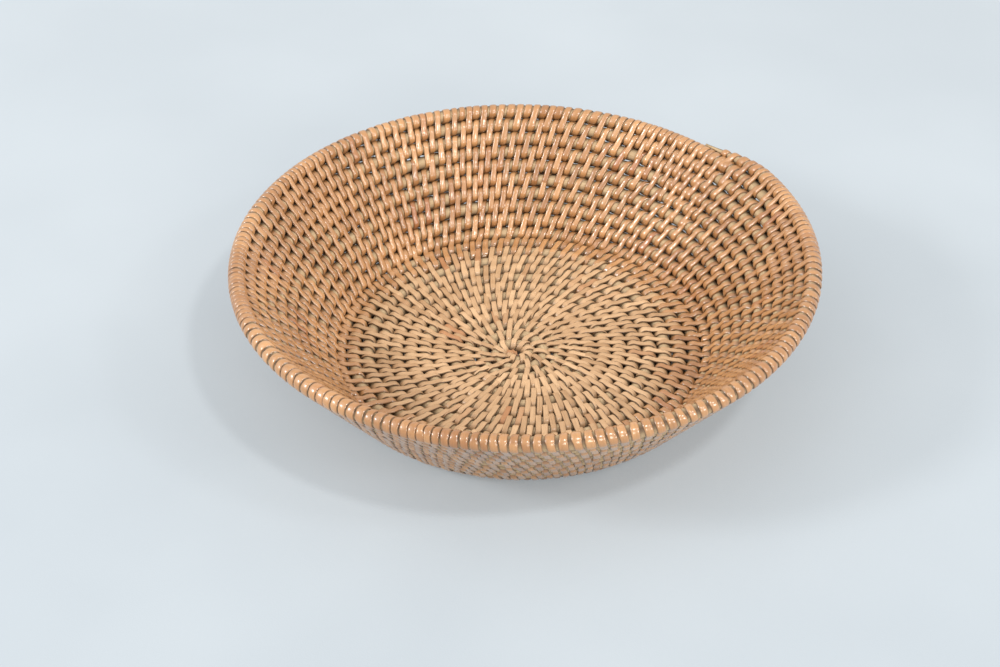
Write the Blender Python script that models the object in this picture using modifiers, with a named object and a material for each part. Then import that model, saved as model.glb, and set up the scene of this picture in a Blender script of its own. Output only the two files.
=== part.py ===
"""Round coiled rattan basket: a flat floor and a straight flared wall in one spiral of rattan core.

Every turn of the core is bound to the turn below with strips of rattan peel. Each binding object is the
closed sleeve that one strip's stitches make around the core. Metres, +Z up, the floor rests on z = 0.
"""
import math

import bpy
import numpy as np

# Coil
ROW_PITCH = 0.0064          # from one turn's centre line to the next, along the floor and up the wall
FIRST_TURN = 0.62           # radius of the coil's start, in row pitches
LAST_TURN = 22.99           # turns at the coil's end
END_AZIMUTH = math.radians(50.0)
WALL_ANGLE = math.radians(52.3)   # the wall's slope from the horizontal
CORNER_TURN = 12.66         # where the floor turns up into the wall
CORNER_WIDTH = 1.5          # turns over which it bends
TAPER_TURNS = 0.06          # the coil's end thins out over this much of a turn
TAPER_LEFT = 0.5            # part of its thickness that is left at the very end

# Sections
CORE_RADIUS = 0.0022
SLEEVE_INNER = 0.00255
SLEEVE_OUTER = 0.0030
END_GAP = 0.0003            # between the ends of neighbouring rods and of neighbouring strips
COIL_HEIGHT = SLEEVE_OUTER * math.cos(math.radians(30.0))
TILT = math.radians(0.0)    # turns the six sides of a section so that one lies flat on the floor

# Pieces
ROD_COUNT = 5
ROD_SHIFT = 0.17            # rods meet inside a binding and not where two strips meet
STRIP_COUNT = 15
FINE_FROM_TURN = 4.0
STEPS_INNER = 12            # straight lengths to a turn near the centre
STEPS_OUTER = 24            # and in the rest of the coil

# The spiral's axis, placed so that the basket's bounding box is centred on the origin
AXIS_X = -0.00097
AXIS_Y = 0.00097


def meridian():
    """Radius and height of the coil's centre line against turns, at an even pitch along the section."""
    turns = np.linspace(0.0, LAST_TURN + 1.0, 24001)
    t = np.clip((turns - CORNER_TURN) / CORNER_WIDTH + 0.5, 0.0, 1.0)
    slope = WALL_ANGLE * t * t * (3.0 - 2.0 * t)
    step = ROW_PITCH * (turns[1] - turns[0])
    middle = 0.5 * (slope[1:] + slope[:-1])
    radius = np.concatenate([[0.0], np.cumsum(step * np.cos(middle))])
    height = np.concatenate([[0.0], np.cumsum(step * np.sin(middle))])
    return turns, radius, height


TURNS, RADIUS, HEIGHT = meridian()


def on_circle(turn):
    """A point of the coil's centre line; the tapered end leans in on the turn below."""
    drop = (1.0 - thickness(turn)) * 0.5
    r = (1.0 - drop) * np.interp(turn, TURNS, RADIUS) + drop * np.interp(turn - 1.0, TURNS, RADIUS)
    z = (1.0 - drop) * np.interp(turn, TURNS, HEIGHT) + drop * np.interp(turn - 1.0, TURNS, HEIGHT)
    a = END_AZIMUTH - 2.0 * math.pi * (LAST_TURN - turn)
    return np.array([AXIS_X + r * math.cos(a), AXIS_Y + r * math.sin(a), COIL_HEIGHT + z])


def thickness(turn):
    """1 along the coil, falling to TAPER_LEFT at its end."""
    t = min(max((turn - (LAST_TURN - TAPER_TURNS)) / TAPER_TURNS, 0.0), 1.0)
    return 1.0 - (1.0 - TAPER_LEFT) * t


def stations():
    """Turns at which the coil bends; the same azimuths in every turn, so neighbours run parallel."""
    inner = np.arange(math.ceil(FIRST_TURN * STEPS_INNER) + 1, FINE_FROM_TURN * STEPS_INNER) / STEPS_INNER
    outer = np.arange(FINE_FROM_TURN * STEPS_OUTER, math.floor(LAST_TURN * STEPS_OUTER) + 1) / STEPS_OUTER
    return np.concatenate([[FIRST_TURN], inner, outer[outer < LAST_TURN - 0.01], [LAST_TURN]])


STATIONS = stations()
CORNERS = np.array([on_circle(turn) for turn in STATIONS])
LENGTHS = np.concatenate([[0.0], np.cumsum(np.linalg.norm(np.diff(CORNERS, axis=0), axis=1))])


def coil_points(start, end):
    """Corners of the coil between two distances along it, with a point at each end."""
    inside = (LENGTHS > start + 1e-5) & (LENGTHS < end - 1e-5)
    at = np.concatenate([[start], LENGTHS[inside], [end]])
    points = [[np.interp(s, LENGTHS, CORNERS[:, k]) for k in range(3)] for s in at]
    return points, [thickness(np.interp(s, LENGTHS, STATIONS)) for s in at]


def middle_of_length(distance):
    """The nearest place to a distance that is half way along one of the coil's straight lengths."""
    k = int(np.searchsorted(LENGTHS, distance))
    k = min(max(k, 1), len(LENGTHS) - 1)
    return 0.5 * (LENGTHS[k - 1] + LENGTHS[k])


def splices(count, shift):
    """Distances along the coil at which one piece ends and the next begins; shift is in piece lengths."""
    total = LENGTHS[-1]
    inner = [middle_of_length(total * (k - shift) / count) for k in range(1, count)]
    return [0.0] + inner + [total]


def principled(name, colour, roughness):
    material = bpy.data.materials.new(name)
    material.use_nodes = True
    shader = material.node_tree.nodes["Principled BSDF"]
    shader.inputs["Base Color"].default_value = (*colour, 1.0)
    shader.inputs["Roughness"].default_value = roughness
    shader.inputs["Metallic"].default_value = 0.0
    material.diffuse_color = (*colour, 1.0)
    return material


def coil_curve(name, start, end, radius, caps, collection, parent):
    """A length of the coil as a six-sided tube along a polyline, flat side down."""
    points, thick = coil_points(start, end)
    data = bpy.data.curves.new(name, "CURVE")
    data.dimensions = "3D"
    data.twist_mode = "Z_UP"
    data.resolution_u = 1
    data.render_resolution_u = 0
    data.bevel_depth = radius
    data.bevel_resolution = 1
    data.use_fill_caps = caps
    spline = data.splines.new("POLY")
    spline.points.add(len(points) - 1)
    for point, place, thin in zip(spline.points, points, thick):
        point.co = (*place, 1.0)
        point.radius = 1.0 - (1.0 - thin) * SLEEVE_OUTER / radius
        point.tilt = TILT
    spline.use_smooth = True
    piece = bpy.data.objects.new(name, data)
    collection.objects.link(piece)
    piece.parent = parent
    return piece





def build():
    for thing in list(bpy.data.objects):
        bpy.data.objects.remove(thing, do_unlink=True)

    collection = bpy.data.collections.new("coiled_basket")
    bpy.context.scene.collection.children.link(collection)
    root = bpy.data.objects.new("basket", None)
    collection.objects.link(root)

    # Core: rods of round rattan laid end to end inside the bindings
    ends = splices(ROD_COUNT, ROD_SHIFT)
    for k in range(ROD_COUNT):
        start = ends[k] + (END_GAP / 2 if k else 0.0012)
        end = ends[k + 1] - (END_GAP / 2 if k < ROD_COUNT - 1 else 0.0012)
        rod = coil_curve(f"core_rod_{k + 1}", start, end, CORE_RADIUS, True, collection, root)
        shade = 1.0 - 0.03 * (k % 3)
        rod.data.materials.append(principled(f"rattan_core_{k + 1}", (0.52 * shade, 0.39 * shade, 0.21 * shade), 0.7))

    # Bindings: the sleeve that each strip of peel makes around its length of core
    ends = splices(STRIP_COUNT, 0.0)
    wall = SLEEVE_OUTER - SLEEVE_INNER
    for k in range(STRIP_COUNT):
        start = ends[k] + (END_GAP / 2 if k else 0.0)
        end = ends[k + 1] - (END_GAP / 2 if k < STRIP_COUNT - 1 else 0.0)
        name = f"binding_{k + 1:02d}"
        binding = coil_curve(name, start, end, SLEEVE_OUTER, False, collection, root)
        shell = binding.modifiers.new("strip_thickness", "SOLIDIFY")
        shell.thickness = wall * math.cos(math.radians(30.0))
        shell.offset = -1.0
        shell.use_rim = True
        shell.use_even_offset = True
        shade = 1.0 - 0.025 * ((k * 7) % 4)
        colour = (0.63 * shade, 0.37 * shade, 0.19 * shade)
        binding.data.materials.append(principled(f"rattan_peel_{k + 1:02d}", colour, 0.38))


build()
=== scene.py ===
"""Looks of the coiled rattan basket: smooth rods, and every stitch of the peel that binds them.

The rods follow the same spiral as the CAD model. A strip of peel runs on from stitch to stitch: it goes over
its own turn, down the inside across two turns, out through the gap below them and up the outside again.
"""
import math

import bpy
import numpy as np
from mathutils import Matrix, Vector


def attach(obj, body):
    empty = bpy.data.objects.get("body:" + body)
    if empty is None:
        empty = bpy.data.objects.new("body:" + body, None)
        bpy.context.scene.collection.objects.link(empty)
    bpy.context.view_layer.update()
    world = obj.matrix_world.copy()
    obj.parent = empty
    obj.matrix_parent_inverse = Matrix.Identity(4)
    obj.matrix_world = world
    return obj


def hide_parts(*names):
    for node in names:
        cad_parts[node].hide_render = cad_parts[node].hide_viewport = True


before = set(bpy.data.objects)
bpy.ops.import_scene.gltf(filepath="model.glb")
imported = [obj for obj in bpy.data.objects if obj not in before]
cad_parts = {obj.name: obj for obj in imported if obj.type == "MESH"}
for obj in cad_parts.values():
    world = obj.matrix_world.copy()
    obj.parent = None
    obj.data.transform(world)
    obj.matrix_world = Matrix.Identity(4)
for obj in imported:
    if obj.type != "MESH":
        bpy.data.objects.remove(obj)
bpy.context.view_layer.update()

# Spiral, as in the CAD model
ROW_PITCH = 0.0064
LAST_TURN = 22.98
END_AZIMUTH = math.radians(46.4)
WALL_ANGLE = math.radians(52.3)
CORNER_TURN = 12.66
CORNER_WIDTH = 1.5
AXIS_X = -0.00097
AXIS_Y = 0.00097
CENTRE_OFF_X = -0.0024      # the coil was begun off centre: the first turn lies this far from the rim's axis
CENTRE_OFF_Y = -0.0074
CENTRED_FROM = 13.4         # turns; from here on the coil is round about the axis
ROD_COUNT = 5
STRIP_COUNT = 15
CAD_FIRST_TURN = 0.62

# Rods
ROD_RADIUS = 0.00294
ROD_START = 0.06            # turns; the rod starts thin beside the centre
ROD_START_LEFT = 0.50       # share of its radius that it starts with
ROD_FULL_FROM = 0.62
TAPER_TURNS = 0.055         # the coil's end thins out over this much of a turn
TAPER_LEFT = 0.16           # share of its radius that is left at the very end
BARE_END = 0.022            # the thinned end stays bare
ROD_SIDES = 14
ROD_STEP = 1.0 / 96.0       # turns from one ring of points to the next
ROD_SHIFT = 0.17            # rods meet inside a strip and not where two strips meet
ROD_GAP = 0.0004            # turns between the ends of neighbouring rods
LAST_ROD_SHORT = 0.004
ROD_WAVES = [(0.012, 37.0, 0.0), (0.008, 91.0, 1.0)]    # share of the radius, waves to 2 pi turns, phase

# Peel
PEEL = 0.00080              # thickness in the middle of a strip, on the inside
PEEL_OUTSIDE = 0.66         # share of it on the outside
SLACK = 0.00002             # between a rod and the peel around it
CLEAR_OF_FLOOR = 0.00012
COIL_HEIGHT = ROD_RADIUS + PEEL * PEEL_OUTSIDE + SLACK + CLEAR_OF_FLOOR
FULL_WIDTH = 0.0024         # a narrower strip is thinner too
LEAST_THIN = 0.55
LEAN_IN = 0.44              # spacings that an inside stitch leans over its two turns
CENTRE_LEAN = 1.2           # more of it beside the centre
CENTRE_LEAN_FADE = 2.3      # turns
UPRIGHT_LEAN = 0.30         # less of it high on the left wall
UPRIGHT_AZIMUTH = math.radians(165.0)
UPRIGHT_FROM, UPRIGHT_FADE = 14.0, 4.0
OUT_OFFSET = 0.53           # spacings from an inside stitch to the outside one that follows it
OUT_LEAN = 0.87             # share of the inside lean
DIP = 0.00030               # how far a stitch sinks in between two turns

# Stitches to a turn
FIRST_MARK = 0.02
FIRST_SPARE = 0.27
SPREAD = [(0.045, 1.0, 2.3, 0.13), (0.03, 2.0, 0.0, 0.31)]      # share, waves round, phase, phase to a turn
FLOOR_GROUP, WALL_GROUP = 3, 5      # stitches looked at together when a new one is fitted in
WALL_FROM = 13.2
PAIR_PLACES = [0.55, 0.05]  # shares of a gap that two stitches in it stand before its usual place
EVENING_ROUNDS = 2
COUNT_TURNS = [1, 2, 3, 4, 5, 6, 7, 8, 9, 10, 11, 12, 13, 15, 17, 18, 19, 20, 22, 24]
COUNTS = [9, 15, 24, 33, 41, 46, 50, 53, 56, 60, 65, 72, 77, 75, 78, 82, 86, 88, 90, 92]

# Colours, linear
FLOOR_PEEL_LIGHT = (0.685, 0.448, 0.252)
FLOOR_PEEL_DARK = (0.435, 0.258, 0.130)
WALL_PEEL_LIGHT = (0.605, 0.319, 0.132)
WALL_PEEL_DARK = (0.330, 0.144, 0.047)
PEEL_RED = (0.38, 0.138, 0.046)
PEEL_DUSK = (0.33, 0.180, 0.080)
PEEL_STREAK = (0.26, 0.120, 0.045)
# painted shade: the dark brown put into the crevices between turns and on the rods' sides
PAINTED_SHADE_COLOUR = (0.058, 0.026, 0.011)
CORE_LIGHT = (0.61, 0.455, 0.270)
CORE_DARK = (0.45, 0.315, 0.170)
CORE_LINE = (0.36, 0.21, 0.10)
CORE_PORE = (0.18, 0.10, 0.05)
FLOOR_LOW = (0.262, 0.295, 0.326)
# painted light: the floor glows with this colour, which lifts the shadows on it
FLOOR_GLOW = (0.171, 0.188, 0.200)
# painted light: the floor turns towards this lighter colour farther back
FLOOR_HIGH = (0.405, 0.444, 0.476)

FLOOR_HALF = 4.0

# Soft lights: name, place, width of the round panel, power and colour
LIGHTS = [
    ("key", (1.02, -0.43, 1.02), 0.20, 2.5, (1.0, 0.995, 0.985)),
    ("window", (0.46, -0.61, 1.25), 0.13, 5.8, (1.0, 0.975, 0.94)),
    ("front", (0.48, -1.15, 0.62), 0.40, 4.3, (1.0, 0.93, 0.82)),
    ("right", (1.25, -0.62, 0.46), 0.30, 4.4, (1.0, 1.0, 1.0)),
    ("second_window", (-1.10, -0.34, 0.80), 0.28, 7.4, (1.0, 0.995, 0.985)),
    ("left", (-1.05, -0.25, 0.98), 1.80, 6.6, (1.0, 1.0, 1.0)),
]
LIGHTS_AIM = (0.0, 0.0, 0.02)
WORLD_COLOUR = (1.0, 0.987, 0.97)
WORLD_POWER = 0.82

# Camera, fitted to the outline and the rows in the photo
CAMERA_LENS = 62.64
CAMERA_PLACE = (-0.0103, -0.5942, 0.4770 + COIL_HEIGHT)
CAMERA_DOWN = math.radians(38.28)

rng = np.random.default_rng(11)

# ---------------------------------------------------------------- spiral surface

GRID = np.linspace(-2.0, LAST_TURN + 2.0, 27001)


def slope_at(turn):
    t = np.clip((turn - CORNER_TURN) / CORNER_WIDTH + 0.5, 0.0, 1.0)
    return WALL_ANGLE * t * t * (3.0 - 2.0 * t)


def meridian():
    slope = slope_at(GRID)
    step = ROW_PITCH * (GRID[1] - GRID[0])
    middle = 0.5 * (slope[1:] + slope[:-1])
    radius = np.concatenate([[0.0], np.cumsum(step * np.cos(middle))])
    height = np.concatenate([[0.0], np.cumsum(step * np.sin(middle))])
    return radius - np.interp(0.0, GRID, radius), height


RADIUS, HEIGHT = meridian()


def azimuth_of(turn):
    return END_AZIMUTH - 2.0 * math.pi * (LAST_TURN - turn)


def surface(azimuth, v, lift):
    """Points lift above (inside) the coil's middle surface, v turns out from the axis."""
    slope = slope_at(v)
    r = np.interp(v, GRID, RADIUS) - lift * np.sin(slope)
    z = np.interp(v, GRID, HEIGHT) + lift * np.cos(slope)
    off = np.clip(1.0 - v / CENTRED_FROM, 0.0, 1.0)
    return np.stack(
        [
            AXIS_X + CENTRE_OFF_X * off + r * np.cos(azimuth),
            AXIS_Y + CENTRE_OFF_Y * off + r * np.sin(azimuth),
            COIL_HEIGHT + z,
        ],
        axis=-1,
    )


def rod_radius(turn):
    """The rod's radius, thin at its start and at its end."""
    start = np.clip((turn - ROD_START) / (ROD_FULL_FROM - ROD_START), 0.0, 1.0)
    end = np.clip((turn - (LAST_TURN - TAPER_TURNS)) / TAPER_TURNS, 0.0, 1.0)
    scale = ROD_START_LEFT + (1.0 - ROD_START_LEFT) * start
    scale = scale * (1.0 - (1.0 - TAPER_LEFT) * end * end * (3.0 - 2.0 * end))
    return ROD_RADIUS * scale


def rod_shift(turn):
    """How far a thinned end leans in on the turn below, in turns."""
    end = np.clip((turn - (LAST_TURN - TAPER_TURNS)) / TAPER_TURNS, 0.0, 1.0)
    return (ROD_RADIUS - rod_radius(turn)) / ROW_PITCH * (end > 0)


# ---------------------------------------------------------------- stitches along the coil


def lean_at(turn):
    """Spacings an inside stitch leans over its two turns; on the upper wall at the left they stand upright."""
    up = np.clip((turn - UPRIGHT_FROM) / UPRIGHT_FADE, 0.0, 1.0)
    centre = CENTRE_LEAN * np.exp(-turn / CENTRE_LEAN_FADE)
    left = np.clip(np.cos(azimuth_of(turn) - UPRIGHT_AZIMUTH), 0.0, 1.0)
    return LEAN_IN + centre - UPRIGHT_LEAN * up * left


def wanted_stitches(turn):
    """Stitches to a turn at this place; they stand a little closer on some sides of the basket."""
    target = np.interp(turn, COUNT_TURNS, COUNTS)
    a = azimuth_of(turn)
    return target * (1.0 + sum(
        share * math.sin(waves * a + phase + drift * turn) for share, waves, phase, drift in SPREAD))


def stitch_marks():
    """Turns at which the stitches cross the top of their own turn. Each goes between two of the turn below."""
    spacing = 1.0 / (COUNTS[0] - FIRST_SPARE)
    marks = [ROD_START + FIRST_MARK + spacing * k for k in range(COUNTS[0])]
    i = 0
    while marks[-1] < LAST_TURN:
        last = marks[-1]
        wall = last > WALL_FROM
        group = WALL_GROUP if wall else FLOOR_GROUP
        nexts = []
        for k in range(group):
            a, b = marks[min(i + k, len(marks) - 2)], marks[min(i + k + 1, len(marks) - 1)]
            nexts.append(0.5 * (a + b) + 1.0 - 0.5 * lean_at(0.5 * (a + b) + 1.0) * (b - a))
        span = nexts[-1] - last
        wanted = span * wanted_stitches(last)
        count = int(np.clip(round(wanted - 0.04 + 0.08 * rng.normal()), group, 2 * group))
        if count == group:
            marks.append(nexts[0])
            i += 1
            continue
        if wall:  # one more stitch shares the widest gap
            gaps = np.diff([last] + nexts)
            widest = int(np.argmax(gaps))
            for k, place in enumerate(nexts):
                marks.extend(place - share * gaps[k] for share in (PAIR_PLACES if k == widest else [0.0]))
        else:
            marks.extend(last + span * (k + 1) / count for k in range(count))
        i += group
    marks = np.array(marks)
    return marks[marks < LAST_TURN - BARE_END]


def evened(marks):
    """Neighbours share the room a little more evenly, and each sits slightly off its place."""
    out = marks.copy()
    for _ in range(EVENING_ROUNDS):
        out[1:-1] = 0.5 * out[1:-1] + 0.25 * (out[2:] + out[:-2])
    gap = np.gradient(out)
    out = out + gap * np.clip(rng.normal(0.0, 0.035, len(out)), -0.08, 0.08)
    return out


MARKS = evened(stitch_marks())


# ---------------------------------------------------------------- loops of peel

INNER_END = 1.15            # before this turn the peel goes round one rod only
SHORT_TURNS = [1.15, 2.8, 4.6]      # after it the stitches catch in the turn below, farther and farther down
SHORT_REACH = [0.30, 0.42, 1.0]

LONG_ANGLE = [0, 14, 28, 42, 57, 73, 90, 90, 90, 90, 90, 90, 90, 104, 118, 132, 146, 162, 180, 198, 216, 234, 252,
              270, 270, 270, 270, 270, 270, 288, 306, 324, 342]
LONG_LOWER = [0, 0, 0, 0, 0, 0, 0, 0.17, 0.34, 0.5, 0.66, 0.83, 1, 1, 1, 1, 1, 1, 1, 1, 1, 1, 1,
              1, 0.8, 0.6, 0.4, 0.2, 0, 0, 0, 0, 0]
WRAP_ANGLE = [0, 15, 30, 45, 60, 75, 90, 105, 120, 135, 150, 165, 180, 198, 216, 234, 252, 270, 288, 306, 324, 342]
# Sizes round a loop: place, share of the spacing, greatest width in mm, share of the full thickness.
# The place is the angle, with 90 to 91 along the inside and 270 to 271 along the outside.
LONG_SIZES = np.array([
    (0, 0.40, 2.3, 0.50), (45, 0.41, 2.4, 0.80), (90, 0.43, 2.50, 1.00), (90.5, 0.47, 2.75, 1.02),
    (91, 0.52, 3.15, 1.15), (108, 0.54, 3.35, 1.18), (126, 0.52, 3.15, 1.02), (146, 0.45, 2.7, 0.70),
    (180, 0.38, 2.2, 0.45), (205, 0.40, 2.5, 0.50), (235, 0.46, 3.0, 0.60), (270, 0.48, 3.1, 0.66),
    (271, 0.48, 3.1, 0.66), (315, 0.44, 2.7, 0.60), (360, 0.40, 2.3, 0.50),
])
RIM_LONG_SIZES = np.array([
    (0, 0.46, 3.5, 0.75), (45, 0.45, 3.2, 0.90), (90, 0.45, 3.0, 1.00), (90.5, 0.49, 3.0, 1.02),
    (91, 0.54, 3.40, 1.18), (108, 0.56, 3.55, 1.20), (126, 0.54, 3.30, 1.00), (146, 0.46, 2.7, 0.70),
    (180, 0.38, 2.2, 0.45), (205, 0.40, 2.5, 0.50), (235, 0.46, 3.0, 0.60), (270, 0.48, 3.2, 0.66),
    (271, 0.47, 3.4, 0.66), (315, 0.46, 3.5, 0.68), (360, 0.46, 3.5, 0.75),
])
WRAP_SIZES = np.array([
    (0, 0.49, 3.9, 0.75), (60, 0.49, 3.9, 0.95), (90, 0.49, 3.9, 1.08), (118, 0.50, 3.9, 1.08),
    (142, 0.44, 3.3, 0.80), (180, 0.36, 2.4, 0.45), (215, 0.42, 3.0, 0.60), (270, 0.48, 3.8, 0.66),
    (300, 0.49, 3.9, 0.68), (360, 0.49, 3.9, 0.75),
])
LEAST_WIDTH = 0.0026        # except beside the centre, where a stitch may take up all of its spacing
CENTRE_ROOM = 0.0018        # radius that the spacing there is reckoned at
RIM_FROM = LAST_TURN - 1.036
RIM_TOP_SHADE_SHARE = 0.2             # share of the painted shade kept on the top of the rim, where no turn above shades it
CROSS_FROM, CROSS_OVER = 125.0, 110.0       # degrees over which a loop passes between the two turns
JOIN_OVER = 55.0            # degrees before and after a loop's start over which it meets its neighbour
INSIDE_FROM = 0.05          # sine of the angle


def loop_list():
    """Every loop in order: its turn, its spacing, whether it goes round one rod, and its own small differences."""
    gap = np.gradient(MARKS)
    rows = []
    for mark, g in zip(MARKS, gap):
        rows.append((mark, g, mark < INNER_END))
        if mark > RIM_FROM:
            rows.append((mark + 0.5 * g, g, True))
    at = np.array([r[0] for r in rows])
    spacing = np.array([r[1] for r in rows])
    single = np.array([r[2] for r in rows])
    return at, spacing, single


AT, SPACING, SINGLE = loop_list()
LOOPS = len(AT)
LOOSE = 1.0 + 1.6 * np.exp(-AT / 2.5)     # the first turns are worked less evenly
LEAN = lean_at(AT) * (1.0 + 0.15 * LOOSE * rng.normal(size=LOOPS))
BROAD = 1.0 + np.clip(0.055 * LOOSE * rng.normal(size=LOOPS), -0.16, 0.13)
PROUD = 0.00006 * LOOSE ** 1.5 * np.abs(rng.normal(size=LOOPS))
SAG = 1.0 + 0.35 * rng.normal(size=LOOPS)


def inside_line(k, dv):
    """Turn at which loop k passes dv turns out from its own turn, on the inside; then on the outside."""
    return AT[k] + LEAN[k] * SPACING[k] * (0.5 - dv) * 0.5


def outside_line(k, dv):
    return AT[k] + SPACING[k] * (OUT_OFFSET + OUT_LEAN * LEAN[k] * (0.5 - dv) * 0.5)


def ease(t):
    t = np.clip(t, 0.0, 1.0)
    return t * t * (3.0 - 2.0 * t)


def loop_sections(k):
    """The sections of loop k: points, outward directions, widths and how much painted shade each one gets where it
    passes between the turns.
    """
    single = bool(SINGLE[k])
    angle = np.array(WRAP_ANGLE if single else LONG_ANGLE, float)
    lower = np.zeros(len(angle)) if single else np.array(LONG_LOWER, float)
    lower = lower * np.interp(AT[k], SHORT_TURNS, SHORT_REACH)
    rad = np.radians(angle)
    before, after = max(k - 1, 0), min(k + 1, LOOPS - 1)
    turn = np.full(len(angle), AT[k])
    for _ in range(2):  # the rods' sizes depend a little on where along the coil each section is
        own, under = rod_radius(turn), rod_radius(turn - 1.0)
        reach = (1.0 - lower) * own + lower * under + SLACK + PROUD[k] * (np.sin(rad) > INSIDE_FROM)
        centre = -(1.0 - lower) * rod_shift(turn) - lower
        dv = centre + reach * np.cos(rad) / ROW_PITCH
        inner, outer = inside_line(k, dv), outside_line(k, dv)
        turn = np.where(angle <= 180.0, inner, outer)
        cross = (angle > CROSS_FROM) & (angle < CROSS_FROM + CROSS_OVER)
        share = ease((angle - CROSS_FROM) / CROSS_OVER)
        turn = np.where(cross, (1.0 - share) * inner + share * outer, turn)
        coming = ease((angle + JOIN_OVER) / (2.0 * JOIN_OVER))
        prior = outside_line(before, dv) if k > 0 else inner
        turn = np.where(angle < JOIN_OVER, (1.0 - coming) * prior + coming * inner, turn)
        going = ease((angle - 360.0 + JOIN_OVER) / (2.0 * JOIN_OVER))
        turn = np.where(angle > 360.0 - JOIN_OVER, (1.0 - going) * outer + going * inside_line(after, dv), turn)
    bridge = 4.0 * lower * (1.0 - lower)
    lift = reach * np.sin(rad) - np.sign(np.sin(rad)) * DIP * SAG[k] * bridge
    v = turn + dv
    azimuth = azimuth_of(turn)
    slope = slope_at(v)
    points = surface(azimuth, v, lift)
    around = np.stack([np.cos(azimuth), np.sin(azimuth), np.zeros_like(azimuth)], axis=-1)
    up = np.array([0.0, 0.0, 1.0])
    along = np.cos(slope)[:, None] * around + np.sin(slope)[:, None] * up
    inward = -np.sin(slope)[:, None] * around + np.cos(slope)[:, None] * up
    facing = np.cos(rad)[:, None] * along + np.sin(rad)[:, None] * inward
    whole = max(float(lower.max()), 1e-6)
    key = np.where(angle == 90.0, 90.0 + lower / whole, angle)
    key = np.where(angle == 270.0, 270.0 + (0.0 if single else 1.0 - lower / whole), key)
    rim = AT[k] > RIM_FROM
    sizes = WRAP_SIZES if single else (RIM_LONG_SIZES if rim else LONG_SIZES)
    room = SPACING[k] * 2.0 * math.pi * np.maximum(np.interp(v, GRID, RADIUS), CENTRE_ROOM)
    by_room = np.interp(key, sizes[:, 0], sizes[:, 1]) * room
    most = np.interp(key, sizes[:, 0], sizes[:, 2]) * 0.001
    width = (by_room ** -6.0 + most ** -6.0) ** (-1.0 / 6.0) * BROAD[k]
    width = np.maximum(width, np.minimum(LEAST_WIDTH, room))
    thick = PEEL * np.interp(key, sizes[:, 0], sizes[:, 3]) * np.clip(width / FULL_WIDTH, LEAST_THIN, 1.0)
    # painted shade, darkest where the loop passes between two turns
    crevice_shade = np.abs(np.cos(rad)) ** 3
    if rim:
        crevice_shade = np.where((angle < 90.0) | (angle > 270.0), RIM_TOP_SHADE_SHARE * crevice_shade, crevice_shade)
    return points, facing, width, thick, crevice_shade, angle


# A strip's section: flat below, crowned above, as shares of its width and of its thickness
PROFILE_ACROSS = np.array([-0.5, -0.455, -0.37, -0.22, 0.0, 0.22, 0.37, 0.455, 0.5, 0.40, -0.40])
PROFILE_UP = np.array([0.16, 0.50, 0.79, 0.95, 1.0, 0.95, 0.79, 0.50, 0.16, 0.0, 0.0])
PROFILE_FLAT = np.array([0.34, 0.76, 0.93, 0.99, 1.0, 0.99, 0.93, 0.76, 0.34, 0.0, 0.0])    # on the floor
CROWNED_FROM, CROWNED_OVER = 13.6, 1.5
TUCKED_FROM = 234.0         # degrees; the last loop ends here
SHARP_EDGE = math.radians(48.0)


def closed_mesh(name, rings, attributes):
    """A tube of rings with an end cap at each end, facing outward, and its point attributes."""
    count, sides = rings.shape[:2]
    index = np.arange(count * sides).reshape(count, sides)
    a, b = index[:-1], index[1:]
    quads = np.stack([a, np.roll(a, -1, 1), np.roll(b, -1, 1), b], axis=-1).reshape(-1, 4)
    points = rings.reshape(-1, 3)
    p0, p1, p2, p3 = (points[quads[:, k]] for k in range(4))
    middle = points.mean(0)
    volume = np.einsum("ij,ij->", p0 - middle, np.cross(p1 - middle, p2 - middle))
    volume += np.einsum("ij,ij->", p0 - middle, np.cross(p2 - middle, p3 - middle))
    faces = quads.tolist() + [index[0, ::-1].tolist(), index[-1].tolist()]
    if volume < 0:
        faces = [face[::-1] for face in faces]
    mesh = bpy.data.meshes.new(name)
    mesh.from_pydata(points.tolist(), [], faces)
    mesh.polygons.foreach_set("use_smooth", [True] * len(mesh.polygons))
    for key, values in attributes.items():
        if values.shape[-1] == 4:
            layer = mesh.attributes.new(key, "FLOAT_COLOR", "POINT")
            layer.data.foreach_set("color", values.reshape(-1).astype(np.float32))
        else:
            layer = mesh.attributes.new(key, "FLOAT_VECTOR", "POINT")
            layer.data.foreach_set("vector", values.reshape(-1).astype(np.float32))
    mesh.update()
    return mesh


def wander(count, reach):
    """Slowly changing numbers along the coil, from about -1 to 1."""
    noise = rng.normal(size=count + 2 * reach)
    window = np.hanning(2 * reach + 1)
    smooth = np.convolve(noise, window / math.sqrt((window ** 2).sum()), "same")
    return smooth[reach:reach + count]


TONE = 0.5 + 0.16 * wander(LOOPS, 5) + 0.13 * rng.normal(size=LOOPS)
REDDER = wander(LOOPS, 3) + 0.45 * rng.normal(size=LOOPS)
REDDER = np.clip((REDDER - 1.5) / 1.1, 0.0, 1.0)
DUSKY = np.clip((wander(LOOPS, 2) + 0.5 * rng.normal(size=LOOPS) - 1.5) / 1.4, 0.0, 0.7)
REDDER[AT > RIM_FROM] *= 0.5
DUSKY[AT > RIM_FROM] *= 0.4


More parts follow.
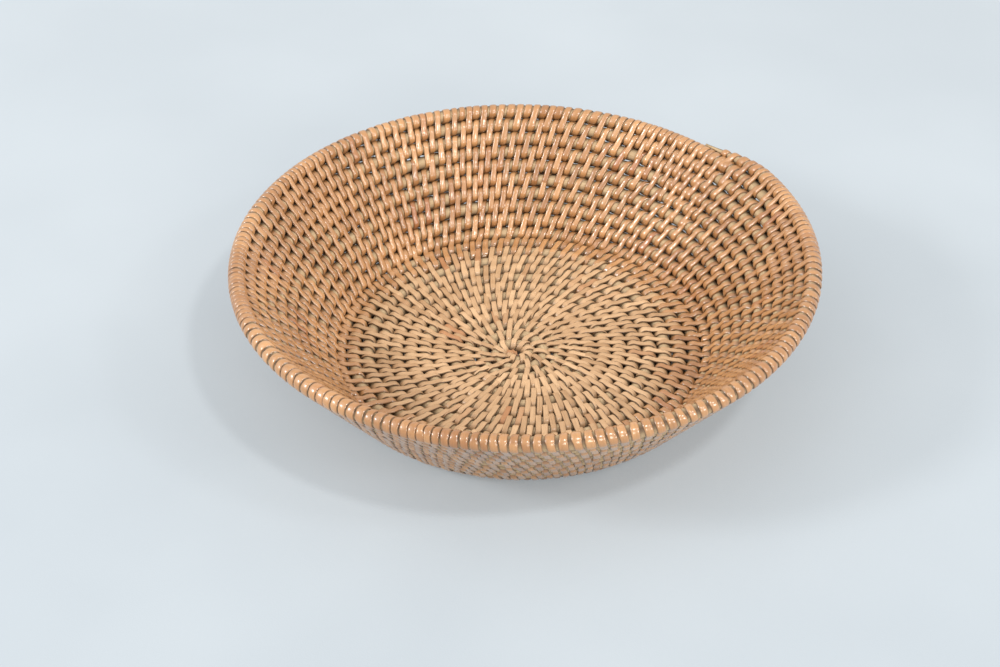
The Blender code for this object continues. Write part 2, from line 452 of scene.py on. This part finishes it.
def strip_mesh(name, first, last, number):
    """One strip of peel from loop first up to loop last, as a ribbon with a crowned section."""
    found = [loop_sections(k) for k in range(first, last)]
    sizes = [len(f[0]) for f in found]
    owner = np.repeat(np.arange(first, last), sizes)
    points, facing, width, thick, crevice_shade, angle = (np.concatenate([f[j] for f in found]) for j in range(6))
    if last == LOOPS:  # the end is tucked in below the rim
        keep = np.arange(len(points)) < len(points) - np.argmax(angle[::-1] <= TUCKED_FROM)
        points, facing, width, thick, crevice_shade, owner = (
            x[keep] for x in (points, facing, width, thick, crevice_shade, owner))
    ahead = np.gradient(points, axis=0)
    ahead /= np.linalg.norm(ahead, axis=1)[:, None]
    out = facing - (facing * ahead).sum(1)[:, None] * ahead
    out /= np.linalg.norm(out, axis=1)[:, None]
    side = np.cross(ahead, out)
    flat = np.clip((CROWNED_FROM - AT[owner]) / CROWNED_OVER, 0.0, 1.0)[:, None]
    profile = (1.0 - flat) * PROFILE_UP + flat * PROFILE_FLAT
    rings = (points[:, None, :]
             + side[:, None, :] * (PROFILE_ACROSS[None, :, None] * width[:, None, None])
             + out[:, None, :] * (profile * thick[:, None])[:, :, None])
    run = np.concatenate([[0.0], np.cumsum(np.linalg.norm(np.diff(points, axis=0), axis=1))]) * 1000.0
    sides = len(PROFILE_ACROSS)
    strip = np.stack([
        np.broadcast_to(PROFILE_ACROSS * 2.0, (len(points), sides)),
        np.broadcast_to(run[:, None], (len(points), sides)),
        np.full((len(points), sides), float(number)),
    ], axis=-1)
    look = np.stack([
        np.clip(TONE[owner], 0.0, 1.0),
        REDDER[owner],
        # painted shade where the strip passes between the turns
        np.clip(0.85 * crevice_shade, 0.0, 1.0),
        DUSKY[owner],
    ], axis=-1)
    look = np.repeat(look[:, None, :], sides, axis=1)
    return closed_mesh(name, rings, {"strip": strip, "look": look})


def rod_mesh(name, start, end, number):
    """A length of the coil as a round rod; its surface waves very slightly."""
    turn = np.arange(start, end, ROD_STEP)
    turn = np.append(turn, end) if end - turn[-1] > 0.2 * ROD_STEP else np.append(turn[:-1], end)
    radius = rod_radius(turn)
    radius = radius * (1.0 + sum(share * np.sin(waves * turn + phase) for share, waves, phase in ROD_WAVES))
    v = turn - rod_shift(turn)
    azimuth = azimuth_of(turn)
    around = 2.0 * math.pi * np.arange(ROD_SIDES) / ROD_SIDES
    rings = surface(
        azimuth[:, None],
        v[:, None] + radius[:, None] * np.cos(around)[None, :] / ROW_PITCH,
        radius[:, None] * np.sin(around)[None, :],
    )
    middle = surface(azimuth, v, 0.0 * v)
    run = np.concatenate([[0.0], np.cumsum(np.linalg.norm(np.diff(middle, axis=0), axis=1))]) * 1000.0
    count = len(turn)
    strip = np.stack([
        np.broadcast_to(3.2 * np.cos(around), (count, ROD_SIDES)),
        np.broadcast_to(run[:, None], (count, ROD_SIDES)),
        np.broadcast_to(3.2 * np.sin(around) + 20.0 * number, (count, ROD_SIDES)),
    ], axis=-1)
    tone = np.clip(0.5 + 0.12 * np.sin(turn * 5.1 + number) + 0.1 * np.sin(turn * 13.7), 0.0, 1.0)
    # painted shade on the rod's sides, where it faces the turns beside it
    sides = np.broadcast_to(np.abs(np.cos(around)) ** 2.5, (count, ROD_SIDES))
    tones = np.broadcast_to(tone[:, None], (count, ROD_SIDES))
    look = np.stack([tones, 0 * tones, sides, 0 * tones], axis=-1)
    return closed_mesh(name, rings, {"strip": strip, "look": look})


# ---------------------------------------------------------------- materials


class Shader:
    """A small helper that adds nodes and links them."""

    def __init__(self, name):
        self.material = bpy.data.materials.new(name)
        self.material.use_nodes = True
        self.tree = self.material.node_tree
        self.main = self.tree.nodes["Principled BSDF"]

    def add(self, kind, inputs=None, **settings):
        made = self.tree.nodes.new(kind)
        for key, value in settings.items():
            setattr(made, key, value)
        for key, value in (inputs or {}).items():
            if isinstance(value, bpy.types.NodeSocket):
                self.tree.links.new(value, made.inputs[key])
            else:
                made.inputs[key].default_value = value
        return made

    def math(self, operation, a, b=0.0):
        return self.add("ShaderNodeMath", {0: a, 1: b}, operation=operation).outputs[0]

    def mix(self, factor, a, b, blend="MIX"):
        made = self.add("ShaderNodeMix", data_type="RGBA", blend_type=blend)
        for socket, value in ((made.inputs[0], factor), (made.inputs[6], a), (made.inputs[7], b)):
            if isinstance(value, bpy.types.NodeSocket):
                self.tree.links.new(value, socket)
            elif isinstance(value, tuple):
                socket.default_value = (*value, 1.0)
            else:
                socket.default_value = value
        return made.outputs[2]

    def ramp(self, value, low, high, smooth=True):
        made = self.add("ShaderNodeMapRange", {0: value, 1: low, 2: high, 3: 0.0, 4: 1.0})
        made.interpolation_type = "SMOOTHSTEP" if smooth else "LINEAR"
        return made.outputs[0]

    def noise(self, vector, scale, detail=2.0, roughness=0.5):
        made = self.add("ShaderNodeTexNoise", {
            "Vector": vector, "Scale": scale, "Detail": detail, "Roughness": roughness,
        })
        return made.outputs[0]

    def scaled(self, vector, x, y, z):
        return self.add("ShaderNodeVectorMath", {0: vector, 1: (x, y, z)}, operation="MULTIPLY").outputs[0]

    def feed(self, socket, value):
        self.tree.links.new(value, self.main.inputs[socket])


def peel_material(name, light, dark, rough_base, coat, edge_shade):
    """Rattan peel: glossy tan skin with fine fibres, brownish stitches, and painted shade where strips dive under
    and along their edges.
    """
    s = Shader(name)
    strip = s.add("ShaderNodeAttribute", attribute_name="strip").outputs["Vector"]
    look = s.add("ShaderNodeAttribute", attribute_name="look")
    parts = s.add("ShaderNodeSeparateColor", {0: look.outputs["Color"]})
    # the look attribute's third channel is the painted shade between the turns
    tone, redder, crevice_shade = parts.outputs[0], parts.outputs[1], parts.outputs[2]
    dusky = look.outputs["Alpha"]
    fibre = s.noise(s.scaled(strip, 7.0, 0.11, 7.3), 1.0, 3.0, 0.6)
    broad = s.noise(s.scaled(strip, 1.1, 0.16, 3.1), 1.0, 2.0, 0.5)
    streak = s.noise(s.scaled(strip, 3.1, 0.07, 5.7), 1.0, 2.0, 0.55)
    place = s.add("ShaderNodeTexCoord").outputs["Object"]
    fleck = s.noise(place, 1500.0, 2.0, 0.6)
    level = s.math("ADD", s.math("MULTIPLY", tone, 0.62), s.math("MULTIPLY", broad, 0.42))
    colour = s.mix(s.ramp(level, 0.18, 0.86, False), dark, light)
    colour = s.mix(s.math("MULTIPLY", redder, 0.66), colour, PEEL_RED)
    colour = s.mix(s.math("MULTIPLY", dusky, 0.6), colour, PEEL_DUSK)
    lines = s.ramp(fibre, 0.30, 0.70, False)
    shade = s.math("ADD", s.math("MULTIPLY", lines, 0.20), 0.90)
    tint = s.add("ShaderNodeCombineColor", {0: shade, 1: shade, 2: shade}).outputs[0]
    colour = s.mix(1.0, colour, tint, "MULTIPLY")
    colour = s.mix(s.math("MULTIPLY", s.ramp(streak, 0.60, 0.76), 0.42), colour, PEEL_STREAK)
    colour = s.mix(s.math("MULTIPLY", s.ramp(fleck, 0.66, 0.74), 0.5), colour, PEEL_STREAK)
    across = s.add("ShaderNodeSeparateXYZ", {0: strip}).outputs[0]
    # painted shade along the strip's long edges, by the last argument's strength
    rim = s.ramp(s.math("ABSOLUTE", across), 0.72, 1.0)
    # painted shade: the strips' edges and the places where they dive between the turns are darkened
    painted_shade = s.math("MAXIMUM", s.math("MULTIPLY", rim, edge_shade), s.math("MULTIPLY", crevice_shade, 0.92))
    colour = s.mix(painted_shade, colour, PAINTED_SHADE_COLOUR)
    s.feed("Base Color", colour)
    rough = s.math("ADD", s.math("MULTIPLY", broad, 0.20), s.math("MULTIPLY", fibre, 0.16))
    s.feed("Roughness", s.math("ADD", rough, rough_base))
    s.main.inputs["Coat Weight"].default_value = coat
    s.main.inputs["Coat Roughness"].default_value = 0.20
    s.main.inputs["Coat IOR"].default_value = 1.65
    s.main.inputs["Specular IOR Level"].default_value = 0.3
    height = s.math("ADD", s.math("MULTIPLY", fibre, 0.7), s.math("MULTIPLY", fleck, 0.3))
    bump = s.add("ShaderNodeBump", {"Height": height, "Strength": 0.35, "Distance": 0.00012})
    s.feed("Normal", bump.outputs[0])
    return s.material


def core_material():
    """Rattan core: pale, dull wood with fine dark pores drawn out along the rod, and painted shade on its sides.
    """
    s = Shader("rattan_core")
    strip = s.add("ShaderNodeAttribute", attribute_name="strip").outputs["Vector"]
    look = s.add("ShaderNodeAttribute", attribute_name="look").outputs["Color"]
    tone = s.add("ShaderNodeSeparateColor", {0: look})
    fibre = s.noise(s.scaled(strip, 3.4, 0.10, 3.4), 1.0, 3.0, 0.65)
    pores = s.noise(s.scaled(strip, 6.0, 0.22, 6.0), 1.0, 1.0, 0.5)
    cloud = s.noise(s.scaled(strip, 0.3, 0.05, 0.3), 1.0, 2.0, 0.5)
    level = s.math("ADD", s.math("MULTIPLY", tone.outputs[0], 0.3), s.math("MULTIPLY", cloud, 0.7))
    colour = s.mix(s.ramp(level, 0.25, 0.75, False), CORE_DARK, CORE_LIGHT)
    colour = s.mix(s.math("MULTIPLY", s.ramp(fibre, 0.40, 0.72), 0.45), colour, CORE_LINE)
    colour = s.mix(s.math("MULTIPLY", s.ramp(pores, 0.62, 0.74), 0.5), colour, CORE_PORE)
    # painted shade on the rod's sides, from the look attribute's third channel
    colour = s.mix(s.math("MULTIPLY", tone.outputs[2], 0.92), colour, PAINTED_SHADE_COLOUR)
    s.feed("Base Color", colour)
    s.feed("Roughness", s.math("ADD", s.math("MULTIPLY", cloud, 0.2), 0.62))
    bump = s.add("ShaderNodeBump", {"Height": fibre, "Strength": 0.5, "Distance": 0.00015})
    s.feed("Normal", bump.outputs[0])
    return s.material


def floor_material():
    s = Shader("pale_floor")
    place = s.add("ShaderNodeTexCoord").outputs["Object"]
    cloud = s.ramp(s.noise(place, 5.0, 3.0, 0.5), 0.3, 0.7)
    # painted light: the floor is lighter farther back
    farther = s.ramp(s.add("ShaderNodeSeparateXYZ", {0: place}).outputs[1], -0.35, 0.45, False)
    level = s.math("ADD", s.math("MULTIPLY", cloud, 0.25), s.math("MULTIPLY", farther, 0.75))
    colour = s.mix(level, FLOOR_LOW, FLOOR_HIGH)
    s.feed("Base Color", colour)
    s.main.inputs["Roughness"].default_value = 0.92
    # painted light: the floor glows faintly
    s.main.inputs["Emission Color"].default_value = (*FLOOR_GLOW, 1.0)
    s.main.inputs["Emission Strength"].default_value = 1.0
    s.main.inputs["Specular IOR Level"].default_value = 0.2
    grain = s.noise(place, 1400.0, 2.0, 0.6)
    bump = s.add("ShaderNodeBump", {"Height": grain, "Strength": 0.15, "Distance": 0.0003})
    s.feed("Normal", bump.outputs[0])
    return s.material


FLOOR_PEEL = peel_material("rattan_peel_floor", FLOOR_PEEL_LIGHT, FLOOR_PEEL_DARK, 0.32, 0.20, 0.85)
WALL_PEEL = peel_material("rattan_peel_wall", WALL_PEEL_LIGHT, WALL_PEEL_DARK, 0.18, 1.0, 0.60)
CORE_MATERIAL = core_material()


# ---------------------------------------------------------------- pieces


def coil_lengths():
    turn = np.linspace(CAD_FIRST_TURN, LAST_TURN, 20001)
    points = surface(azimuth_of(turn), turn, 0.0 * turn)
    length = np.concatenate([[0.0], np.cumsum(np.linalg.norm(np.diff(points, axis=0), axis=1))])
    return turn, length


def splices(count, shift):
    """Turns at which one piece ends and the next begins, at equal lengths along the coil."""
    turn, length = coil_lengths()
    return [float(np.interp(length[-1] * (k - shift) / count, length, turn)) for k in range(1, count)]


def add_piece(name, mesh, material, node):
    mesh.materials.append(material)
    piece = bpy.data.objects.new(name, mesh)
    bpy.context.scene.collection.objects.link(piece)
    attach(piece, "root")
    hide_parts(node)


def build_rods():
    ends = [ROD_START] + splices(ROD_COUNT, ROD_SHIFT) + [LAST_TURN - LAST_ROD_SHORT]
    for k in range(ROD_COUNT):
        start = ends[k] + (ROD_GAP if k else 0.0)
        mesh = rod_mesh(f"coil_rod_{k + 1}", start, ends[k + 1], k)
        add_piece(f"coil_rod_{k + 1}", mesh, CORE_MATERIAL, f"core_rod_{k + 1}")


def build_strips():
    ends = [-1.0] + splices(STRIP_COUNT, 0.0) + [LAST_TURN + 1.0]
    for k in range(STRIP_COUNT):
        first = int(np.searchsorted(AT, ends[k]))
        last = int(np.searchsorted(AT, ends[k + 1]))
        mesh = strip_mesh(f"peel_strip_{k + 1:02d}", first, last, k)
        mesh.set_sharp_from_angle(angle=SHARP_EDGE)
        material = WALL_PEEL if ends[k + 1] > CORNER_TURN else FLOOR_PEEL
        add_piece(f"peel_strip_{k + 1:02d}", mesh, material, f"binding_{k + 1:02d}")


build_rods()
build_strips()


# ---------------------------------------------------------------- stage, light, camera


def build_floor(height):
    mesh = bpy.data.meshes.new("floor")
    corners = [(x * FLOOR_HALF, y * FLOOR_HALF, height) for x, y in ((-1, -1), (1, -1), (1, 1), (-1, 1))]
    mesh.from_pydata(corners, [], [(0, 1, 2, 3)])
    mesh.materials.append(floor_material())
    floor = bpy.data.objects.new("floor", mesh)
    bpy.context.scene.collection.objects.link(floor)


def area_light(name, place, size, power, colour):
    data = bpy.data.lights.new(name, "AREA")
    data.shape = "DISK"
    data.size = size
    data.energy = power
    data.color = colour
    light = bpy.data.objects.new(name, data)
    light.location = place
    light.rotation_euler = (Vector(LIGHTS_AIM) - Vector(place)).to_track_quat("-Z", "Y").to_euler()
    bpy.context.scene.collection.objects.link(light)


def build_light():
    for name, place, size, power, colour in LIGHTS:
        area_light(name, place, size, power, colour)
    world = bpy.data.worlds.new("studio")
    world.use_nodes = True
    world.node_tree.nodes["Background"].inputs["Color"].default_value = (*WORLD_COLOUR, 1.0)
    world.node_tree.nodes["Background"].inputs["Strength"].default_value = WORLD_POWER
    bpy.context.scene.world = world


def build_camera():
    data = bpy.data.cameras.new("camera")
    data.sensor_width = 36.0
    data.lens = CAMERA_LENS
    data.clip_start = 0.01
    camera = bpy.data.objects.new("camera", data)
    camera.location = CAMERA_PLACE
    camera.rotation_euler = (math.radians(90.0) - CAMERA_DOWN, 0.0, 0.0)
    bpy.context.scene.collection.objects.link(camera)
    bpy.context.scene.camera = camera


bpy.context.scene.view_settings.view_transform = "Standard"
build_floor(0.0)
build_light()
build_camera()
